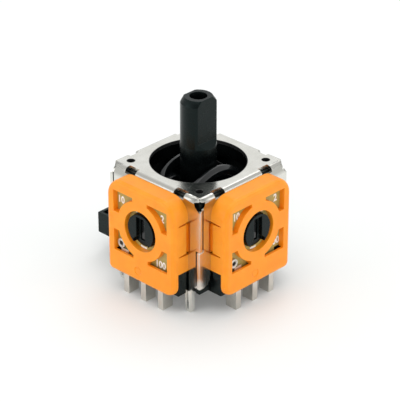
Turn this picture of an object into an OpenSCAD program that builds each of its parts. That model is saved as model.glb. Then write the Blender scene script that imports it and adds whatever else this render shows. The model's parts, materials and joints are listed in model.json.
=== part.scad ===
// Analog stick module: a two-axis thumb stick with two rotary potentiometers and a push switch.
// Millimetres. The stick's axis is Z, and Z = 0 is the face that sits on the circuit board.
// The potentiometers are on the -Y and +X sides, and the switch is on the -X side.

/* [Frame] */
// Width of the folded steel frame, square in plan
frame_w = 13; // [12.8:0.1:13.6]
// Height of the frame's top face above the board
frame_top = 11.2; // [11.1:0.1:11.8]
// Thickness of the steel sheet
sheet = 0.4; // [0.3:0.05:0.45]
// Outer radius of the folds
fold_r = 0.55; // [0.5:0.05:0.7]
// Diameter of the opening that the stick comes through
opening_d = 10.2; // [10.2:0.1:10.6]
// Diameter of the four holes in the top face
corner_hole_d = 0.85; // [0.6:0.05:1]
// Distance from the frame's side to the centre of those holes
corner_hole_in = 1.55; // [1.5:0.05:1.7]
// Length of the slots through the folds
fold_slot_w = 1.45; // [1.2:0.05:1.6]
// Distance from the middle of a side to the centre of its fold slots
fold_slot_at = 3.5; // [3.3:0.1:3.7]
// Height of the side walls' lower edge above the board
skirt_z = 0.95; // [0.8:0.05:1.2]
// Width of the strips of side wall beside each opening for the base
strip_w = 1.55; // [1.45:0.05:1.6]
// Height above the board where the walls' lower openings end
cutout_top = 2.7; // [2.65:0.05:3]
// Width of the frame's four legs
leg_w = 1; // [0.9:0.05:1.2]
// How far legs and terminals reach below the board face
leg_drop = 2.25; // [2:0.05:3.5]

/* [Stick] */
// Height of both tilt axes above the board
axis_z = 6.1; // [6.05:0.05:6.25]
// Height of the stick's top above the board
stick_top = 18.6; // [17:0.1:20]
// Diameter of the shaft that carries the cap
shaft_d = 3.8; // [3.4:0.05:3.8]
// Thickness of the shaft across its two flats
shaft_flat = 2.55; // [2.3:0.05:2.9]
// Diameter of the round neck below the flats
neck_d = 3.85; // [3.8:0.01:3.86]
// Height above the board where the neck ends and the shaft starts
neck_top = 13.2; // [12.6:0.1:13.8]
// Height of the slope that ends each flat
flat_runout = 0.6; // [0.3:0.05:1]
// Diameter of the blind hole in the shaft's top
top_bore_d = 1.85; // [1.4:0.05:2]
// Depth of that hole
top_bore_depth = 3.2; // [2:0.1:5]
// Width of the bevel round the shaft's top
shaft_chamfer = 0.4; // [0.2:0.05:0.5]
// Diameter of the pin that joins the stick to the lower rocker
pin_d = 1; // [0.8:0.05:1.1]
// Distance from the tilt axis down to the stick's foot
foot_drop = 2.4; // [2.3:0.05:2.45]
// Diameter of the stick's foot
foot_d = 2; // [1.8:0.05:2]

/* [Rockers] */
// Outer radius of the upper rocker's arch
arch_r = 5.1; // [5:0.05:5.15]
// Thickness of the arch
arch_t = 1; // [0.8:0.05:1]
// Width of the arch
arch_w = 5.7; // [5.6:0.05:5.8]
// Clearance each side between the neck and the slot in the arch
slot_gap = 0.22; // [0.2:0.01:0.26]
// Diameter of the rockers' journals
journal_d = 3.2; // [3:0.1:3.3]
// Diameter of the collars that keep the rockers in place endways
collar_d = 4.4; // [4.2:0.1:4.6]
// Width of the lower rocker's block
block_w = 5.5; // [5.4:0.05:5.6]
// Length of the lower rocker's block
block_l = 7.8; // [7.6:0.1:8]
// Height of the block above the tilt axis
block_up = 0.95; // [0.85:0.05:0.95]
// Depth of the block below the tilt axis
block_down = 1.3; // [1.2:0.05:1.3]
// Length of the window in the block that the stick tilts in
window_l = 5.5; // [5.3:0.1:5.6]
// Thickness of the drive blades on the ends of the rockers
blade_t = 0.8; // [0.7:0.05:0.9]
// Height of the drive blades
blade_h = 2.4; // [2.2:0.1:2.5]
// Radius of the pusher that works the switch
pusher_r = 3; // [2.8:0.05:3.1]
// Thickness of the pusher
pusher_t = 1.6; // [1.4:0.1:1.8]
// Largest tilt each way, in degrees
tilt_limit = 20; // [16:1:20]

/* [Potentiometers] */
// Width of a potentiometer case
case_w = 9.76; // [9.6:0.02:9.8]
// Height of a case above the tilt axes
case_up = 4.7; // [4.5:0.05:4.8]
// Depth of a case outside the frame
case_depth = 2.1; // [2.05:0.05:2.3]
// Thickness of the case's side walls
case_wall = 0.7; // [0.6:0.05:0.75]
// Thickness of the case's front
front_t = 0.65; // [0.6:0.05:0.7]
// Radius of the case's upper corners
case_r_top = 2; // [1.6:0.1:2.2]
// Radius of the case's lower corner next to the other case
case_r_low = 1.3; // [1:0.1:1.5]
// Radius of the case's other lower corner
case_r_far = 0.6; // [0.5:0.05:0.7]
// Radius that eases the front edge
case_edge_r = 0.4; // [0.3:0.05:0.45]
// Height where the side walls end above the board
case_side_z = 2.65; // [2.65:0.05:3]
// Width across the four windows in the front
windows_w = 7.74; // [7.6:0.02:7.8]
// Height across the windows
windows_h = 7; // [6.8:0.05:7.1]
// Diameter of the hole over the rotor
rotor_hole_d = 4.5; // [4.3:0.1:4.8]
// Outer diameter of the ring round that hole
ring_d = 6.6; // [6.5:0.1:6.9]
// Width of the spokes that carry the ring
spoke_w = 2.1; // [1.8:0.1:2.2]
// Thickness of the phenolic board
board_t = 0.5; // [0.4:0.05:0.55]
// Diameter of the rotor's boss
boss_d = 3.7; // [3.6:0.05:3.8]
// Diameter of the rotor's flange
rotor_flange_d = 6; // [5.6:0.1:6.2]
// Spacing of the terminals
terminal_pitch = 2.5; // [2.5:0.01:2.54]
// Width of a terminal's front web
terminal_w = 0.74; // [0.7:0.02:0.9]
// Thickness of the terminals' sheet
terminal_t = 0.28; // [0.2:0.02:0.28]
// Length of a terminal's side web
terminal_side = 1.45; // [1.3:0.05:1.5]
// Outer diameter of the eyelets' heads
eyelet_d = 0.95; // [0.9:0.05:1.1]
// Diameter of the hole through an eyelet
eyelet_hole_d = 0.5; // [0.4:0.05:0.6]

/* [Base and switch] */
// Thickness of the base's floor
floor_t = 0.8; // [0.7:0.05:0.9]
// Width of the pocket that holds the switch
pocket_w = 8.2; // [8:0.1:8.6]
// Reach of the pocket from the stick's axis
pocket_reach = 11.2; // [11.1:0.05:11.4]
// Height of the pocket's rim above the board
pocket_h = 2.45; // [2.3:0.05:2.5]
// Thickness of the pocket's walls
pocket_wall = 0.4; // [0.35:0.05:0.45]
// Thickness of the pocket's floor
pocket_floor = 0.5; // [0.4:0.05:0.6]
// Diameter of the round throat in the liner, under the frame's opening
throat_d = 10.5; // [10.4:0.05:10.6]
// Depth of the throat
throat_h = 1.45; // [1.3:0.05:1.5]
// Distance from the stick's axis to the switch's button
button_at = 8.9; // [8.8:0.05:9]
// Diameter of the switch's button
button_d = 1.9; // [1.7:0.1:2]
// Travel of the button
button_travel = 0.33; // [0.3:0.01:0.35]
// Outer diameter of the return spring
spring_d = 4.15; // [4:0.05:4.3]
// Diameter of the spring's wire
wire_d = 0.34; // [0.3:0.02:0.36]
// Number of turns of the spring
spring_turns = 4; // [3:1:5]
// Diameter of the centring plate
plate_d = 6; // [5.8:0.1:6.1]
// Thickness of the centring plate
plate_t = 0.6; // [0.5:0.05:0.65]

/* [Fits] */
// Radial clearance of journals, rotors and the pin
run_gap = 0.05; // [0.03:0.01:0.06]
// Clearance between moulded pieces that sit in one another
seat_gap = 0.05; // [0.03:0.01:0.06]
// Clearance under the stick's foot, which dips as it tilts
foot_gap = 0.25; // [0.23:0.01:0.27]
// Clearance under the pusher at rest
press_gap = 0.05; // [0.03:0.01:0.08]

/* [Hidden] */
$fn = 48;

// Colours
STEEL = "#c9c8c2";
BLACK = "#17181a";
ORANGE = "#fda53c";
PHENOLIC = "#8a7340";
BRASS = "#c9a24a";
TIN = "#cfccc4";

// A cut runs this far past the faces that it opens
past = 0.5;

// Frame
frame_half = frame_w / 2;
wall_in = frame_half - sheet;
plate_under = frame_top - sheet;
seam = 0.16;
seam_step_z = frame_top - 6.05;
relief_w = 1.15;
relief_h = 1.35;
// How far the top's corners are cut back, and how far the relief under them reaches, along the diagonal
plate_cut = 0.6;
relief_cut = sheet * sqrt(2) + relief_w / 2 + 0.05;
strip_in = frame_half - strip_w;
leg_at = strip_in - 0.05;
leg_shoulder_z = 0.3;
leg_bead_r = 0.3;
fold_slot_in = fold_r + 0.2;
fold_slot_low = sheet + 0.22;

// Bearings
journal_r = journal_d / 2;
bearing_r = journal_r + run_gap;
upright_t = 0.6;
upright_half = bearing_r + 0.75;
base_half = wall_in - seat_gap;
collar_end = base_half - upright_t - 0.15;

// Potentiometer, measured outwards from the stick's axis
case_out = frame_half + case_depth;
front_in = case_out - front_t;
board_in = front_in - board_t;
case_half = case_w / 2;
case_h = axis_z + case_up;
case_in_half = case_half - case_wall;
case_in_top = case_h - case_wall;
skin_in = front_in + terminal_t + 0.02;
windows_low = axis_z - windows_h / 2;
board_half = case_in_half - seat_gap;
board_low = 0.9;
board_top = case_in_top - seat_gap;
flange_out = board_in - 0.25;
flange_in = frame_half + 0.15;
contact_out = board_in - 0.02;
latch_low = axis_z - 1.45;
latch_high = axis_z + 2.1;
latch_slit = 0.15;
latch_reach = 1.35;
latch_groove = 0.25;
hook_in = wall_in - 0.3;
hook_out = 0.25;
boss_out = case_out - 0.07;
blade_out = boss_out - 0.6;
eyelet_bore_r = 0.35;

// Pushing the stick tilts the lower rocker about its end in the rotor
press_at = (flange_in + case_out) / 2 - 0.7;
press_angle = atan(button_travel / (press_at + button_at));
// How far the lower rocker dips where it passes through the frame
press_dip = (press_at + frame_half) * tan(press_angle) + 0.1;
// How far that dip goes sideways when the rocker is also tilted
press_wander = press_dip * sin(tilt_limit);

// Stick and rockers
slot_half = neck_d / 2 + slot_gap;
window_half_w = neck_d / 2 + run_gap;
arch_in = arch_r - arch_t;
slot_end = 4.12;
arch_edge = 0.4;
foot_z = axis_z - foot_drop;

// Base
well_r = plate_d / 2 + 0.08;
well_wall = 0.65;
plate_top = foot_z - foot_gap;
plate_low = plate_top - plate_t;
well_top = plate_top - 0.25;
ear_in = 3.2;
ear_half = case_half - 0.12;
ear_out = front_in - 0.1;
spring_r = (spring_d - wire_d) / 2;
locator_r = spring_r - wire_d / 2 - 0.3;

// Liner inside the frame
liner_in = base_half - upright_t;
liner_top = plate_under - seat_gap;
liner_low = cutout_top + 0.1;
throat_low = liner_top - throat_h;

// Switch, from the pocket's floor upwards
pocket_in_half = pocket_w / 2 - pocket_wall;
pocket_far = pocket_reach - pocket_wall;
pocket_near = frame_half + 0.4;
switch_low = pocket_floor;
switch_near = pocket_near + seat_gap;
switch_far = pocket_far - seat_gap;
switch_half_w = pocket_in_half - seat_gap;
chamber_low = switch_low + 0.35;
dome_h = 0.5;
dome_r = 1.5;
dome_t = 0.08;
button_low = chamber_low + dome_h + press_gap;
button_top = axis_z - pusher_r - press_gap;
switch_h = 1.5;
switch_top = switch_low + switch_h;
button_flange_h = 0.3;
cover_t = 0.15;
switch_pin_w = 0.6;
switch_pin_t = 0.25;
switch_pin_y = 3.1;
switch_pin_x = [switch_near + 0.75, switch_far - 0.75];

// Flat shapes drawn in X and Z become slabs that start at a distance out along -Y
module slab(out, thick) {
    translate([0, -out, 0])
    rotate([90, 0, 0])
    linear_extrude(thick)
    children();
}

// The same slabs, turned to the side that faces +X
module to_x_side() {
    rotate([0, 0, 90])
    children();
}

module on_four_sides() {
    for (turn = [0:90:270])
        rotate([0, 0, turn])
        children();
}

module box(low, high) {
    translate(low)
    cube(high - low);
}

// A shaft along Y between two distances out along -Y, at the height of the tilt axes
module shaft_y(r, out_1, out_2) {
    translate([0, -out_1, axis_z])
    rotate([90, 0, 0])
    cylinder(h = out_2 - out_1, r = r);
}

// Rectangle from z_low to z_high with rounded corners: lower left, lower right and both upper ones
module rounded_plate(half, z_low, z_high, r_left, r_right, r_high) {
    r_max = max(r_left, r_right);
    translate([-half, z_low + r_max])
    square([2 * half, z_high - z_low - r_max - r_high]);
    translate([r_left - half, z_low])
    square([2 * half - r_left - r_right, r_max]);
    translate([-half, z_low + r_left])
    square([half, r_max]);
    translate([0, z_low + r_right])
    square([half, r_max]);
    translate([r_high - half, z_high - r_high])
    square([2 * (half - r_high), r_high]);
    translate([r_left - half, z_low + r_left])
    circle(r_left);
    translate([half - r_right, z_low + r_right])
    circle(r_right);
    for (side = [-1, 1])
        translate([side * (half - r_high), z_high - r_high])
        circle(r_high);
}

// Frame: one sheet, cut and folded down on four sides

// Section of one side: half of the top, the fold and the wall
module frame_section() {
    fold_in = frame_half - fold_r;
    fold_low = frame_top - fold_r;
    translate([0, plate_under])
    square([fold_in, sheet]);
    translate([wall_in, 0])
    square([sheet, fold_low]);
    intersection() {
        translate([fold_in, fold_low])
        difference() {
            circle(fold_r);
            circle(fold_r - sheet);
        }
        translate([fold_in, fold_low])
        square(fold_r);
    }
}

// One side, folded down towards -Y, mitred to its neighbours
module frame_side() {
    intersection() {
        rotate([90, 0, -90])
        translate([0, 0, -frame_half])
        linear_extrude(frame_w)
        frame_section();
        linear_extrude(frame_top)
        polygon([[0, 0], [frame_half + past, -frame_half - past], [-frame_half - past, -frame_half - past]]);
    }
}

// The lower edge of a wall, with its opening for the base
module wall_opening() {
    slab(wall_in - past, sheet + 2 * past) {
        translate([-strip_in, -past])
        square([2 * strip_in, cutout_top + past]);
        translate([-frame_w, -past])
        square([2 * frame_w, skirt_z + past]);
    }
}

// A journal drops into each wall from below
module journal_slot(r) {
    slab(wall_in - past, sheet + 2 * past) {
        translate([0, axis_z])
        circle(r);
        translate([-r, 0])
        square([2 * r, axis_z]);
    }
}

// The walls without solder legs have rounded lower corners
module rounded_strips() {
    corner_r = 1.1;
    for (side = [-1, 1])
        slab(wall_in - past, sheet + 2 * past)
        difference() {
            translate([side * (strip_in + corner_r / 2), skirt_z + corner_r / 2])
            square(corner_r, center = true);
            translate([side * (strip_in + corner_r), skirt_z + corner_r])
            circle(corner_r);
        }
}

// Solder legs, each with a stiffening bead and a narrow tip
module frame_legs() {
    tip_w = 0.6 * leg_w;
    tip_z = 0.4 - leg_drop;
    outer = leg_at + leg_w / 2;
    for (side = [-1, 1]) {
        slab(wall_in, sheet)
        translate([side * leg_at, 0])
        polygon([
            [-leg_w / 2, leg_shoulder_z], [-leg_w / 2, tip_z],
            [-tip_w / 2, -leg_drop], [tip_w / 2, -leg_drop],
            [leg_w / 2, tip_z], [leg_w / 2, leg_shoulder_z]
        ]);
        slab(wall_in, sheet)
        translate([side * (strip_in + outer) / 2, (skirt_z + past) / 2])
        square([outer - strip_in, skirt_z + past], center = true);
        translate([side * leg_at, -wall_in - sheet / 2, tip_z])
        cylinder(h = leg_shoulder_z - tip_z, r = leg_bead_r);
    }
}

// Openings that the hooks of a potentiometer case snap into
module latch_openings() {
    for (side = [-1, 1])
        slab(wall_in - past, sheet + 2 * past)
        translate([side * (case_half - case_wall / 2), (latch_low + latch_high) / 2])
        square([case_wall + 2 * seat_gap, latch_high - latch_low], center = true);
}

// The seam at one upright corner steps from one wall to the other
module corner_seam() {
    translate([wall_in - past, -wall_in, seam_step_z])
    cube([sheet + 2 * past, seam, frame_top]);
    translate([wall_in - seam, -frame_half - past, -past])
    cube([seam, sheet + past, seam_step_z + past + seam]);
    box([wall_in - seam, -frame_half - past, seam_step_z],
        [frame_half + past, seam - wall_in, seam_step_z + seam]);
}

// A prism with this section, cut inwards along the diagonal at one corner
module corner_prism(depth) {
    translate([frame_half, -frame_half, 0])
    rotate([0, 0, -45])
    rotate([90, 0, 90])
    translate([0, 0, -depth])
    linear_extrude(depth + past)
    children();
}

// The top's corners are cut off, and a relief under each one narrows down to the seam
module corner_relief() {
    corner_prism(plate_cut)
    translate([-plate_cut - past, plate_under - 0.1])
    square([2 * (plate_cut + past), sheet + 0.1 + past]);
    corner_prism(relief_cut)
    polygon([
        [-relief_w / 2, plate_under], [-0.42 * relief_w, plate_under - relief_h / 3],
        [-seam / 2, frame_top - relief_h], [seam / 2, frame_top - relief_h],
        [0.42 * relief_w, plate_under - relief_h / 3], [relief_w / 2, plate_under]
    ]);
}

module fold_slots() {
    for (side = [-1, 1])
        box([side * fold_slot_at - fold_slot_w / 2, -frame_half - past, frame_top - fold_slot_low],
            [side * fold_slot_at + fold_slot_w / 2, fold_slot_in - frame_half, frame_top + past]);
}

module top_frame() {
    color(STEEL)
    union() {
        difference() {
            on_four_sides()
            frame_side();
            translate([0, 0, plate_under - past])
            cylinder(h = sheet + 2 * past, d = opening_d, $fn = 96);
            on_four_sides() {
                wall_opening();
                journal_slot(bearing_r);
                corner_seam();
                corner_relief();
                fold_slots();
                translate([frame_half - corner_hole_in, frame_half - corner_hole_in, plate_under - past])
                cylinder(h = sheet + 2 * past, d = corner_hole_d);
            }
            rotate([0, 0, 270])
            journal_slot(bearing_r + press_wander);
            for (turn = [90, 270])
                rotate([0, 0, turn])
                rounded_strips();
            latch_openings();
            to_x_side()
            latch_openings();
        }
        for (turn = [0, 180])
            rotate([0, 0, turn])
            frame_legs();
    }
}

// Liner: a moulding that fills the frame's top, with a round throat and four notches for the journals

// Room for a journal and for the upright that carries it
module journal_notch(wander) {
    slab(liner_in - past, frame_half - liner_in + past) {
        translate([0, axis_z])
        circle(bearing_r + wander);
        translate([-upright_half - seat_gap, 0])
        square([2 * (upright_half + seat_gap), axis_z + seat_gap]);
    }
}

// Windows that leave the cases' hooks free
module hook_windows() {
    room = 0.25;
    for (side = [-1, 1])
        slab(liner_in - past, frame_half - liner_in + past)
        translate([side * (case_half + hook_out / 2 - case_wall / 2), (latch_low + latch_high) / 2])
        square([case_wall + hook_out + 2 * room, latch_high - latch_low + 2 * room], center = true);
}

module liner() {
    color(BLACK)
    difference() {
        box([-base_half, -base_half, liner_low], [base_half, base_half, liner_top]);
        box([-liner_in, -liner_in, liner_low - past], [liner_in, liner_in, throat_low]);
        translate([0, 0, throat_low - past])
        cylinder(h = throat_h + 2 * past, d = throat_d, $fn = 96);
        for (turn = [0, 90, 180])
            rotate([0, 0, turn])
            journal_notch(0);
        rotate([0, 0, 270])
        journal_notch(press_wander);
        hook_windows();
        to_x_side()
        hook_windows();
        on_four_sides()
        translate([frame_half - corner_hole_in, frame_half - corner_hole_in, throat_low - past])
        cylinder(h = throat_h + 2 * past, d = corner_hole_d);
    }
}

// Base: one moulding with bearings, a well for the centring plate and a pocket for the switch

// Upright that carries a journal from below; the one on the switch's side leaves room for the press
module upright(dip, wander) {
    slot_r = bearing_r + wander;
    difference() {
        union() {
            slab(base_half - upright_t, upright_t)
            translate([-upright_half, 0])
            square([2 * upright_half, axis_z]);
            slab(base_half, frame_half - base_half)
            translate([-slot_r + seat_gap, 0])
            square([2 * (slot_r - seat_gap), axis_z]);
        }
        slab(0, frame_w) {
            translate([0, axis_z - dip])
            circle(slot_r);
            translate([-slot_r, axis_z - dip])
            square([2 * slot_r, axis_z]);
        }
    }
}

// Ears outside the frame that a potentiometer case stands on
module ears() {
    for (side = [-1, 1])
        slab(base_half - upright_t, ear_out - base_half + upright_t)
        translate([side * (ear_in + ear_half) / 2, (case_side_z - seat_gap) / 2])
        square([ear_half - ear_in, case_side_z - seat_gap], center = true);
}

module switch_pocket() {
    difference() {
        box([-pocket_reach, -pocket_w / 2, 0], [-base_half + 0.5, pocket_w / 2, pocket_h]);
        box([-pocket_far, -pocket_in_half, pocket_floor], [-pocket_near, pocket_in_half, pocket_h + past]);
        box([-pocket_near - past, -frame_w, cutout_top - 0.3], [0, frame_w, pocket_h + past]);
        for (x = switch_pin_x, side = [-1, 1])
            translate([-x, side * switch_pin_y, pocket_floor / 2])
            cube([switch_pin_w + 0.2, switch_pin_t + 0.2, pocket_floor + past], center = true);
    }
}

// Notches in the underside for the frame's legs and their beads
module leg_notches() {
    room = 0.1;
    for (x = [-1, 1], y = [-1, 1])
        translate([x * leg_at, y * (wall_in + sheet / 2), 0])
        cube([leg_w + 2 * room, 2 * (leg_bead_r + room), 2 * (leg_shoulder_z + room)], center = true);
}

module base() {
    color(BLACK)
    union() {
        difference() {
            union() {
                box([-base_half, -base_half, 0], [base_half, base_half, floor_t]);
                ears();
            }
            leg_notches();
        }
        difference() {
            cylinder(h = well_top, r = well_r + well_wall, $fn = 72);
            translate([0, 0, floor_t])
            cylinder(h = well_top, r = well_r, $fn = 72);
        }
        cylinder(h = floor_t + 0.6, r = locator_r);
        for (turn = [0, 90, 180])
            rotate([0, 0, turn])
            upright(0, 0);
        rotate([0, 0, 270])
        upright(press_dip, press_wander);
        to_x_side()
        ears();
        switch_pocket();
    }
}

// Stick

module stick() {
    bevel_h = 1.5 * shaft_chamfer;
    bevel_z = stick_top - bevel_h;
    color(BLACK)
    difference() {
        union() {
            translate([0, 0, foot_z])
            cylinder(h = foot_drop, d = foot_d);
            translate([0, 0, axis_z - block_down + 0.1])
            cylinder(h = neck_top - axis_z + block_down - 0.1, d = neck_d, $fn = 64);
            translate([0, 0, neck_top])
            cylinder(h = bevel_z - neck_top, d = shaft_d, $fn = 64);
            translate([0, 0, bevel_z])
            cylinder(h = bevel_h, d1 = shaft_d, d2 = shaft_d - 2 * shaft_chamfer, $fn = 64);
        }
        for (side = [-1, 1])
            rotate([0, 0, side * 90])
            rotate([90, 0, 90])
            translate([0, 0, -shaft_d])
            linear_extrude(2 * shaft_d)
            polygon([
                [shaft_flat / 2, stick_top + past],
                [shaft_flat / 2, neck_top + flat_runout],
                [shaft_flat / 2 + flat_runout, neck_top],
                [shaft_d, neck_top],
                [shaft_d, stick_top + past]
            ]);
        translate([0, 0, stick_top - top_bore_depth])
        cylinder(h = top_bore_depth + past, d = top_bore_d);
        shaft_y(pin_d / 2 + run_gap, -neck_d, neck_d);
    }
}

module pivot_pin() {
    color(TIN)
    shaft_y(pin_d / 2, 0.05 - block_w / 2, block_w / 2 - 0.05);
}

// Rockers

// Blade that turns a potentiometer's rotor
module drive_blade() {
    slab(frame_half - past, blade_out - frame_half + past)
    translate([0, axis_z])
    square([blade_t, blade_h], center = true);
}

// Arch across Y with a slot for the stick; it turns about Y
module upper_rocker() {
    color(BLACK)
    union() {
        difference() {
            intersection() {
                translate([0, 0, axis_z])
                rotate([0, 90, 0])
                rotate_extrude($fn = 96)
                polygon([
                    [arch_in, -arch_w / 2], [arch_r - arch_edge, -arch_w / 2],
                    [arch_r, arch_edge - arch_w / 2], [arch_r, arch_w / 2 - arch_edge],
                    [arch_r - arch_edge, arch_w / 2], [arch_in, arch_w / 2]
                ]);
                box([-arch_w, -frame_w, axis_z], [arch_w, frame_w, axis_z + 2 * arch_r]);
            }
            box([-slot_half, slot_half - slot_end, axis_z - past],
                [slot_half, slot_end - slot_half, axis_z + 2 * arch_r]);
            for (side = [-1, 1])
                translate([0, side * (slot_end - slot_half), axis_z - past])
                cylinder(h = 2 * arch_r, r = slot_half);
        }
        shaft_y(collar_d / 2, arch_in + 0.05, collar_end);
        shaft_y(collar_d / 2, -collar_end, -arch_in - 0.05);
        shaft_y(journal_r, arch_in + 0.1, frame_half + 0.1);
        shaft_y(journal_r, -frame_half, -arch_in - 0.1);
        drive_blade();
    }
}

// Block across X with a window for the stick; it turns about X and its far end works the switch
module lower_rocker() {
    pusher_near = button_at - pusher_t / 2;
    color(BLACK)
    difference() {
        union() {
            intersection() {
                box([-block_l / 2, -block_w / 2, axis_z - block_down], [block_l / 2, block_w / 2, axis_z + block_up]);
                to_x_side()
                shaft_y(block_w / 2 + 0.2, -block_l, block_l);
            }
            to_x_side() {
                shaft_y(collar_d / 2 - 0.3, block_l / 2 - 0.3, collar_end);
                shaft_y(journal_r, block_l / 2 - 0.3, frame_half + 0.1);
                shaft_y(collar_d / 2 - 0.3, -collar_end, 0.3 - block_l / 2);
                shaft_y(journal_r, -pusher_near, 0.3 - block_l / 2);
                drive_blade();
            }
            to_x_side()
            pusher(pusher_near);
        }
        box([-window_l / 2, -window_half_w, 0], [window_l / 2, window_half_w, frame_top]);
        shaft_y(pin_d / 2 + 0.005, -block_w, block_w);
    }
}

// Sector centred on the tilt axis, so that tilting does not work the switch
module pusher(near) {
    sector_half = 36;
    sector_x = 2 * pusher_r * sin(sector_half);
    sector_z = 2 * pusher_r * cos(sector_half);
    shaft_y(journal_r, -near - pusher_t, -near);
    intersection() {
        shaft_y(pusher_r, -near - pusher_t, -near, $fn = 96);
        slab(-near - pusher_t, pusher_t)
        translate([0, axis_z])
        polygon([[0, 0], [-sector_x, -sector_z], [sector_x, -sector_z]]);
    }
}

// Centring

module centring_plate() {
    color(BLACK)
    union() {
        translate([0, 0, plate_low])
        cylinder(h = plate_t, d = plate_d, $fn = 72);
        translate([0, 0, plate_low - 0.5])
        cylinder(h = 0.5 + plate_t / 2, r = locator_r);
    }
}

// Rings of a tube along a path, joined into one closed surface
module tube(path, r, sides) {
    count = len(path);
    function ahead(i) = path[min(i + 1, count - 1)] - path[max(i - 1, 0)];
    function ring(i) =
        let (along = ahead(i) / norm(ahead(i)),
             across = cross(along, [0, 0, 1]) / norm(cross(along, [0, 0, 1])),
             up = cross(across, along))
        [for (k = [0:sides - 1]) path[i] + r * (cos(360 * k / sides) * across + sin(360 * k / sides) * up)];
    points = [for (i = [0:count - 1]) each ring(i)];
    walls = [for (i = [0:count - 2], k = [0:sides - 1])
        let (a = i * sides + k, b = i * sides + (k + 1) % sides)
        each [[a, b, b + sides], [a, b + sides, a + sides]]];
    start = [[for (k = [0:sides - 1]) sides - 1 - k]];
    end = [[for (k = [0:sides - 1]) (count - 1) * sides + k]];
    polyhedron(points, concat(walls, start, end));
}

// Close-wound end turns and open turns between them
module return_spring() {
    steps = 18;
    z_1 = floor_t + wire_d / 2;
    z_2 = plate_low - wire_d / 2;
    rise = z_2 - z_1;
    function height(t) = t < 0.75 ? 0 : t > spring_turns - 0.75 ? 1 : (t - 0.75) / (spring_turns - 1.5);
    path = [for (i = [0:spring_turns * steps])
        let (t = i / steps)
        [spring_r * cos(360 * t), spring_r * sin(360 * t), z_1 + rise * height(t) + 0.001 * t]];
    color(TIN)
    tube(path, wire_d / 2 - 0.01, 8);
}

// Potentiometer on the -Y side

module case_front(r_left, r_right) {
    hull() {
        for (step = [[0, case_edge_r], [0.3 * case_edge_r, 0.3 * case_edge_r], [case_edge_r, 0]])
            slab(front_in, front_t - step[1])
            rounded_plate(case_half - step[0], step[0], case_h - step[0],
                r_left - step[0], r_right - step[0], case_r_top - step[0], $fn = 32);
    }
}

module case_walls() {
    slab(frame_half, front_in - frame_half)
    difference() {
        rounded_plate(case_half, case_side_z, case_h, 0.01, 0.01, case_r_top);
        translate([-case_in_half, -past])
        square([2 * case_in_half, axis_z + past]);
        rounded_plate(case_in_half, case_side_z, case_in_top, 0.01, 0.01, case_r_top - case_wall);
    }
}

// A hook on each side wall, freed by two slits
module case_latches() {
    for (side = [-1, 1])
        translate([side * (case_half - case_wall / 2), 0, 0])
        slab(hook_in, frame_half - hook_in + 0.01)
        translate([0, (latch_low + latch_high) / 2])
        square([case_wall, latch_high - latch_low - 2 * latch_slit], center = true);
    for (side = [-1, 1])
        translate([side * (case_half + hook_out / 2 - 0.1), 0, 0])
        slab(hook_in, wall_in - hook_in - 0.02)
        translate([0, (latch_low + latch_high) / 2])
        square([hook_out + 0.2, latch_high - latch_low - 2 * latch_slit], center = true);
}

// Slits that taper away from the frame, and a groove between them where each latch bends
module latch_slits() {
    for (side = [-1, 1], z = [latch_low, latch_high])
        translate([side * case_half, -frame_half, z])
        rotate([90, 0, 90])
        linear_extrude(2 * case_wall + 0.1, center = true)
        polygon([
            [0.01, -latch_slit], [0.01, latch_slit],
            [-latch_reach, latch_slit / 3], [-latch_reach, -latch_slit / 3]
        ]);
    for (side = [-1, 1])
        translate([side * case_half, -frame_half - latch_groove / 2, (latch_low + latch_high) / 2])
        cube([2 * latch_groove, latch_groove + 0.02, latch_high - latch_low], center = true);
}

// Windows in the front's corners, cut round the ring
module case_windows() {
    for (side_x = [-1, 1], side_z = [-1, 1])
        slab(front_in - past, front_t + 2 * past)
        translate([0, axis_z])
        difference() {
            translate([side_x * (windows_w + spoke_w) / 4, side_z * (windows_h + spoke_w) / 4])
            square([(windows_w - spoke_w) / 2, (windows_h - spoke_w) / 2], center = true);
            circle(d = ring_d);
        }
}

module pot_case(r_left, r_right) {
    mark_d = 0.9;
    mark_x = -0.4;
    color(ORANGE)
    difference() {
        union() {
            case_front(r_left, r_right);
            case_walls();
            case_latches();
        }
        slab(front_in - past, skin_in - front_in + past)
        translate([-case_in_half, -past])
        square([2 * case_in_half, windows_low + past]);
        slab(front_in - past, front_t + 2 * past)
        translate([0, axis_z])
        circle(d = rotor_hole_d);
        case_windows();
        latch_slits();
        slab(case_out - 0.05, past)
        translate([mark_x, windows_low / 2])
        circle(d = mark_d);
    }
}

// Phenolic board with the resistance track on its inner face
module pot_board() {
    color(PHENOLIC)
    slab(board_in, board_t)
    difference() {
        rounded_plate(board_half, board_low, board_top, 0.3, 0.3, case_r_top - case_wall);
        for (turn = [0, 1])
            mirror([turn, 0])
            translate([ear_in - seat_gap, 0])
            square([case_half, case_side_z + seat_gap]);
        translate([0, axis_z])
        circle(d = boss_d + 2 * run_gap);
        for (spot = eyelet_spots)
            translate(spot)
            circle(eyelet_bore_r);
    }
}

// Eyelets in the board: the first shows in a window, the others are behind the lower bar
eyelet_spots = [
    [0.93 - board_half, windows_low + 0.8],
    [0, windows_low - 0.9],
    [terminal_pitch, windows_low - 0.9]
];

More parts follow.
